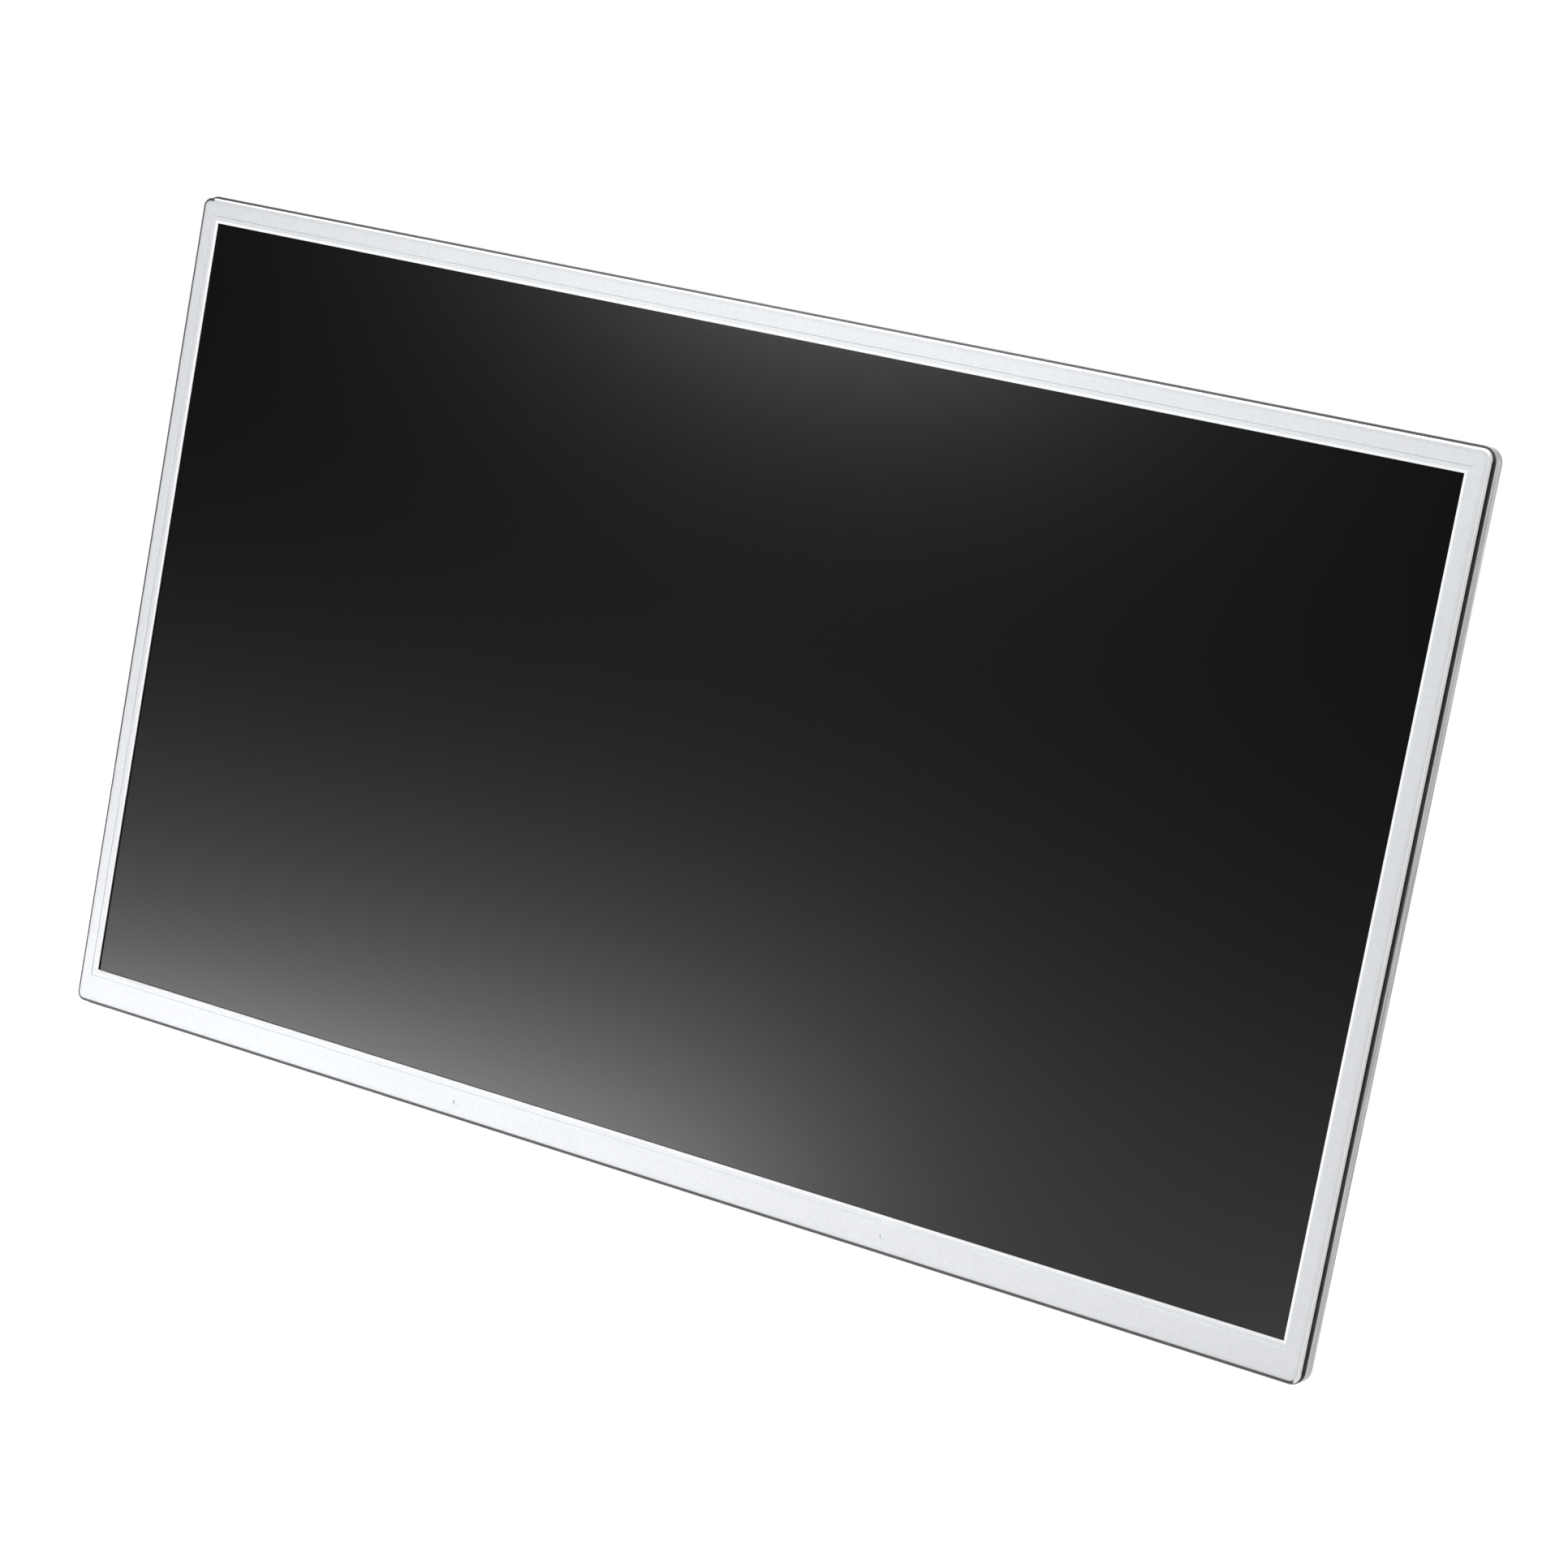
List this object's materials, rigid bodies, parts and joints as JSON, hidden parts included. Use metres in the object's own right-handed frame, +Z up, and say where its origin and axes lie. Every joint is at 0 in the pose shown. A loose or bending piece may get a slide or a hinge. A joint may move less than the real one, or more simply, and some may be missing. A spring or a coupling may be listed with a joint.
{
  "type": "lcd panel",
  "caption": "Bare 16:9 display module: matt black screen in a slim folded steel bezel, edge-lit backlight, steel back with driver boards and threaded fixing pads.",
  "frame": {"origin": "centre of the four rear fixing points, on the plane of their raised pads", "axes": "+X across the picture to the viewer's right, +Z up the picture, the screen faces -Y and the back +Y"},
  "size_m": [0.4964, 0.0132, 0.2938],
  "materials": {
    "bezel_steel": "matt zinc-coated sheet with a fine mottle",
    "chassis_steel": "zinc-coated sheet",
    "shield_steel": "tinned sheet",
    "socket_steel": "plated shell",
    "nut_steel": "zinc plated",
    "screw_steel": "nickel plated",
    "bracket_aluminium": "extruded",
    "screen_film": "anti-glare film",
    "cell_glass": "polished",
    "acrylic": "clear acrylic",
    "guide_plastic": "fine moulded texture",
    "white_film": "diffusing film",
    "clear_film": "ribbed clear film",
    "black_foam": "foam tape",
    "grey_rubber": "silicone",
    "lamp_yellow": "phosphor under clear resin",
    "strip_white": "white solder mask",
    "amber_film": "polyimide film with fine copper tracks",
    "insulator_film": "black film",
    "board_green": "solder mask",
    "socket_plastic": "moulded",
    "white_flex": "flat flex",
    "chip_black": "moulded package"
  },
  "bodies": {
    "root": {"front_bezel": "bezel_steel", "bezel_tape": "black_foam", "bezel_gasket": "black_foam", "front_polarizer": "screen_film", "color_filter_glass": "cell_glass", "tft_glass": "cell_glass", "rear_polarizer": "screen_film", "cell_tape": "black_foam", "guide_panel": "guide_plastic", "upper_diffuser": "white_film", "prism_sheet": "clear_film", "lower_diffuser": "white_film", "light_guide": "acrylic", "reflector_sheet": "white_film", "light_guide_bumpers": "grey_rubber", "led_packages": "lamp_yellow", "led_strip": "strip_white", "thermal_tape": "grey_rubber", "led_bracket": "bracket_aluminium", "backlight_flex": "amber_film", "back_chassis": "chassis_steel", "mount_nuts": "nut_steel", "driver_films": "amber_film", "driver_chips": "chip_black", "board_insulators": "insulator_film", "source_board": "board_green", "control_board": "board_green", "board_sockets": "socket_plastic", "link_flexes": "white_flex", "control_chips": "chip_black", "power_coils": "chip_black", "signal_connector": "socket_steel", "power_connector": "socket_plastic", "control_shield": "shield_steel", "chassis_screws": "screw_steel", "board_screws": "screw_steel", "shield_screws": "screw_steel"}
  },
  "joints": []
}
